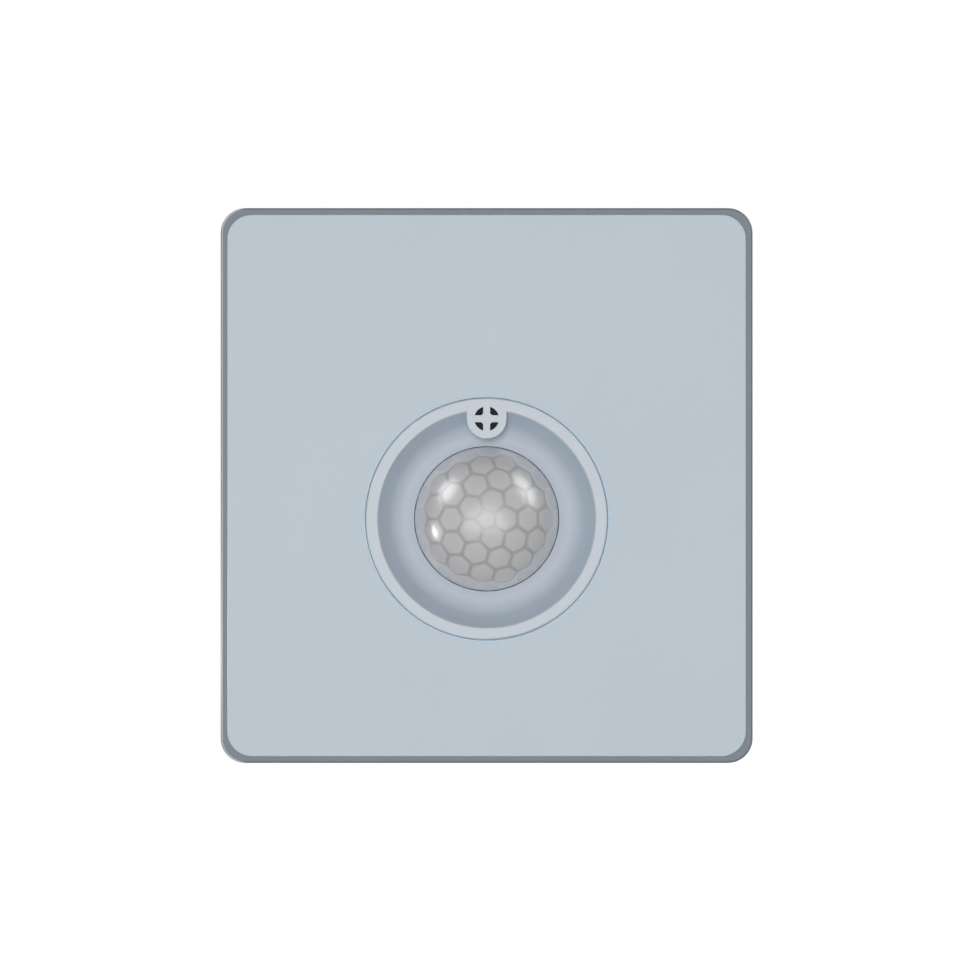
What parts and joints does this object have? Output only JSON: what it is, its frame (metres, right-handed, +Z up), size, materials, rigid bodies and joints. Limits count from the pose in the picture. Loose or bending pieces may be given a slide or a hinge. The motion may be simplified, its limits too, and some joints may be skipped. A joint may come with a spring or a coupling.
{
  "type": "motion sensor light switch",
  "caption": "Wall light switch with a round motion sensor: honeycomb lens dome in a sunken bezel, slotted microphone tab, pull-off cover, relay module and screw terminals behind",
  "frame": {"origin": "centre of the plate, on the wall plane", "axes": "+X right and +Z up, seen from the front; the front faces -Y, the wall is y = 0"},
  "size_m": [0.086, 0.0392, 0.0896],
  "materials": {
    "trim_plastic": "grey satin",
    "panel_plastic": "pale blue-grey satin",
    "bezel_plastic": "pale grey satin",
    "lens_plastic": "milky translucent, glossy outside",
    "black_plastic": "matt",
    "white_plastic": "matt",
    "housing_plastic": "matt",
    "relay_plastic": "matt blue",
    "film_plastic": "matt yellow",
    "rubber": "matt",
    "bracket_steel": "zinc plated",
    "bright_steel": "plated",
    "brass": "bright",
    "copper": "enamelled winding",
    "board": "green solder mask",
    "chip_black": "matt",
    "aluminium": "satin",
    "dark_window": "dark infrared window",
    "lamp": "red tinted",
    "ceramic": "glazed",
    "varistor_coat": "blue coating"
  },
  "bodies": {
    "module": {"sensor_bezel": "bezel_plastic", "fresnel_lens": "lens_plastic", "acoustic_mesh": "black_plastic", "microphone_boot": "rubber", "microphone_capsule": "aluminium", "carrier": "white_plastic", "bezel_screws": "bright_steel", "mounting_bracket": "bracket_steel", "bracket_screws": "bright_steel", "rear_housing": "housing_plastic", "housing_screws": "bright_steel", "sensor_board": "board", "sensor_board_screws": "bright_steel", "sensor_board_parts": "ceramic", "sensor_chip": "chip_black", "pir_can": "bright_steel", "pir_window": "dark_window", "pir_leads": "bright_steel", "status_led": "lamp", "light_sensor": "ceramic", "time_trimmer": "white_plastic", "light_trimmer": "white_plastic", "link_pins": "brass", "link_spacer": "black_plastic", "power_board": "board", "power_board_screws": "bright_steel", "power_board_parts": "chip_black", "film_capacitor": "film_plastic", "smoothing_capacitor": "black_plastic", "filter_capacitor": "black_plastic", "varistor": "varistor_coat", "fuse": "ceramic", "supply_coil": "copper", "relay_cover": "relay_plastic", "relay_base": "relay_plastic", "relay_pins": "bright_steel", "relay_yoke": "bright_steel", "relay_core": "bright_steel", "relay_bobbin": "white_plastic", "relay_winding": "copper", "relay_fixed_contact": "brass", "terminal_block": "white_plastic", "contact_bars": "brass"},
    "cover": {"trim_frame": "trim_plastic", "face_panel": "panel_plastic"},
    "time_adjuster": {"time_knob": "black_plastic"},
    "light_adjuster": {"light_knob": "black_plastic"},
    "armature": {"relay_armature": "bright_steel", "relay_contact_spring": "brass"},
    "screw_line": {"terminal_screw_line": "bright_steel"},
    "cage_line": {"clamp_line": "brass"},
    "screw_neutral": {"terminal_screw_neutral": "bright_steel"},
    "cage_neutral": {"clamp_neutral": "brass"},
    "screw_load": {"terminal_screw_load": "bright_steel"},
    "cage_load": {"clamp_load": "brass"}
  },
  "joints": [
    {"name": "cover_pull", "type": "slide", "parent": "module", "child": "cover", "axis": [0, -1, 0], "range_m": [0, 0.02]},
    {"name": "time_knob_turn", "type": "hinge", "parent": "module", "child": "time_adjuster", "pos_m": [-0.013, -0.002, 0.022], "axis": [0, -1, 0], "range_deg": [-135, 135]},
    {"name": "light_knob_turn", "type": "hinge", "parent": "module", "child": "light_adjuster", "pos_m": [0.013, -0.002, 0.022], "axis": [0, -1, 0], "range_deg": [-135, 135]},
    {"name": "relay_armature_swing", "type": "hinge", "parent": "module", "child": "armature", "pos_m": [-0.0027, 0.0114, -0.0074], "axis": [0, 0, -1], "range_deg": [0, 3.4], "stiffness_Nm_per_rad": 0.01, "springref_deg": -1.15},
    {"name": "terminal_screw_line_turn", "type": "hinge", "parent": "module", "child": "screw_line", "pos_m": [-0.011, 0.021, -0.0212], "axis": [0, -1, 0], "range_deg": [0, 2160]},
    {"name": "clamp_line_rise", "type": "slide", "parent": "module", "child": "cage_line", "axis": [0, 1, 0], "range_m": [0, 0.003]},
    {"name": "terminal_screw_neutral_turn", "type": "hinge", "parent": "module", "child": "screw_neutral", "pos_m": [0, 0.021, -0.0212], "axis": [0, -1, 0], "range_deg": [0, 2160]},
    {"name": "clamp_neutral_rise", "type": "slide", "parent": "module", "child": "cage_neutral", "axis": [0, 1, 0], "range_m": [0, 0.003]},
    {"name": "terminal_screw_load_turn", "type": "hinge", "parent": "module", "child": "screw_load", "pos_m": [0.011, 0.021, -0.0212], "axis": [0, -1, 0], "range_deg": [0, 2160]},
    {"name": "clamp_load_rise", "type": "slide", "parent": "module", "child": "cage_load", "axis": [0, 1, 0], "range_m": [0, 0.003]}
  ],
  "couplings": [
    {"joint": "terminal_screw_line_turn", "follows": "clamp_line_rise", "rad_per_m": 12566},
    {"joint": "terminal_screw_neutral_turn", "follows": "clamp_neutral_rise", "rad_per_m": 12566},
    {"joint": "terminal_screw_load_turn", "follows": "clamp_load_rise", "rad_per_m": 12566}
  ]
}
